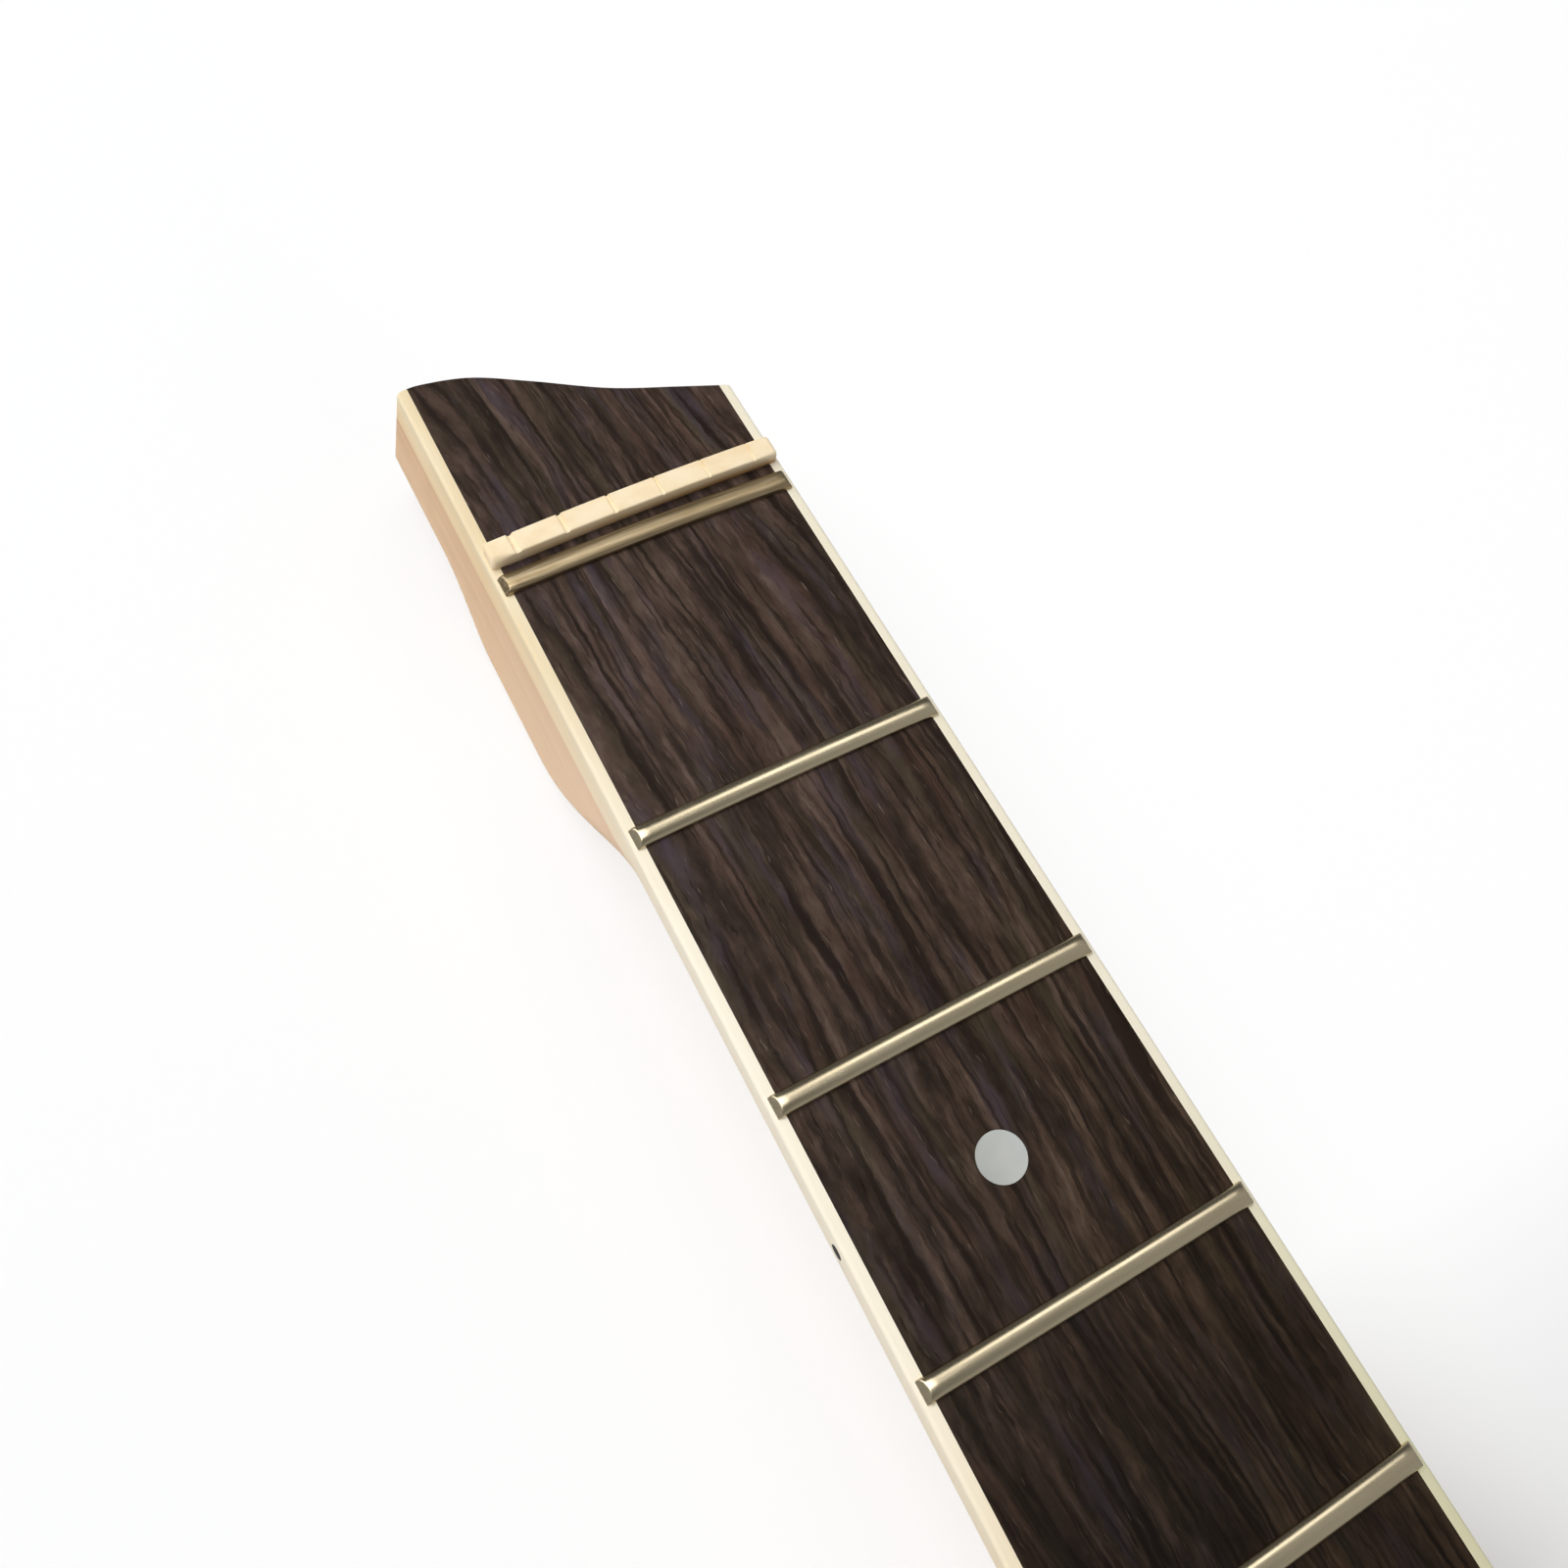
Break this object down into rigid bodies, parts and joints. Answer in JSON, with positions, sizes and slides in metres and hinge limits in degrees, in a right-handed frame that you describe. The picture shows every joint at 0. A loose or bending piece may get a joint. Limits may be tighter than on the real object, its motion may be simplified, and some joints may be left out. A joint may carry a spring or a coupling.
{
  "type": "electric guitar neck",
  "caption": "Headless bolt-on electric guitar neck with a bound crowned fingerboard, zero fret, slotted nut, volute, square heel and a two-way truss rod",
  "frame": {"origin": "middle of the heel's flat seat, on the neck's centre line", "axes": "+X along the neck from the heel to the head, +Y to the bass side, +Z out of the fingerboard"},
  "size_m": [0.5319, 0.056, 0.0286],
  "materials": {
    "maple": "satin sealed pale maple",
    "rosewood": "open-pored dark rosewood, oiled",
    "binding": "scraped cream plastic",
    "nut": "smooth cream nut blank",
    "fretwire": "polished nickel silver",
    "pearl": "pearl dot",
    "side_marker": "black rod",
    "truss_steel": "plain bright steel"
  },
  "bodies": {
    "neck": {"neck_shaft": "maple", "fingerboard": "rosewood", "binding_bass": "binding", "binding_treble": "binding", "binding_heel_end": "binding", "nut": "nut", "zero_fret": "fretwire", "truss_bar": "truss_steel", "truss_block_heel": "truss_steel", "truss_block_head": "truss_steel", "fret_01": "fretwire", "fret_02": "fretwire", "fret_03": "fretwire", "fret_04": "fretwire", "fret_05": "fretwire", "fret_06": "fretwire", "fret_07": "fretwire", "fret_08": "fretwire", "fret_09": "fretwire", "fret_10": "fretwire", "fret_11": "fretwire", "fret_12": "fretwire", "fret_13": "fretwire", "fret_14": "fretwire", "fret_15": "fretwire", "fret_16": "fretwire", "fret_17": "fretwire", "fret_18": "fretwire", "fret_19": "fretwire", "fret_20": "fretwire", "fret_21": "fretwire", "fret_22": "fretwire", "fret_23": "fretwire", "fret_24": "fretwire", "inlay_dot_03": "pearl", "inlay_dot_05": "pearl", "inlay_dot_07": "pearl", "inlay_dot_09": "pearl", "inlay_dot_15": "pearl", "inlay_dot_17": "pearl", "inlay_dot_19": "pearl", "inlay_dot_21": "pearl", "inlay_dot_12_treble": "pearl", "inlay_dot_12_bass": "pearl", "inlay_dot_24_treble": "pearl", "inlay_dot_24_bass": "pearl", "side_dot_03": "side_marker", "side_dot_05": "side_marker", "side_dot_07": "side_marker", "side_dot_09": "side_marker", "side_dot_15": "side_marker", "side_dot_17": "side_marker", "side_dot_19": "side_marker", "side_dot_21": "side_marker", "side_dot_12_head": "side_marker", "side_dot_12_heel": "side_marker", "side_dot_24_head": "side_marker", "side_dot_24_heel": "side_marker"},
    "truss_screw": {"truss_rod": "truss_steel", "truss_adjuster": "truss_steel"}
  },
  "joints": [
    {"name": "truss_turn", "type": "hinge", "parent": "neck", "child": "truss_screw", "pos_m": [-0.0365, 0, 0.0137], "axis": [1, 0, 0], "range_deg": [-450, 450]}
  ]
}
